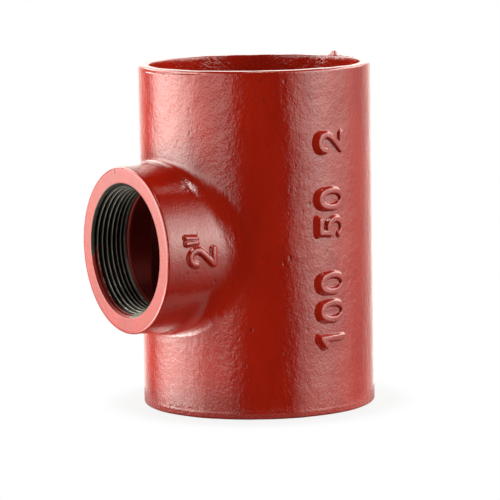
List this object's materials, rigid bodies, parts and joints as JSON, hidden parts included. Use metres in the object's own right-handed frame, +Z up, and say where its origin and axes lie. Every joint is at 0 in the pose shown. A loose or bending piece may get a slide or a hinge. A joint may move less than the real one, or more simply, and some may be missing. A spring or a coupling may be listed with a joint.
{
  "type": "soil boss pipe",
  "caption": "Short straight cast iron drainage pipe, painted red, with a round side boss tapped for a branch pipe. Plain ends for couplings.",
  "frame": {"origin": "centre of the pipe's lower end, on the pipe's axis", "axes": "+Z up the pipe's axis, -Y out of the boss's tapped mouth, +X to the side that carries the raised numbers"},
  "size_m": [0.11, 0.1279, 0.1615],
  "materials": {
    "painted_iron": "glossy brick red paint over as-cast iron, with bare dark iron in the tapped hole"
  },
  "bodies": {
    "root": {"boss_pipe": "painted_iron"}
  },
  "joints": []
}
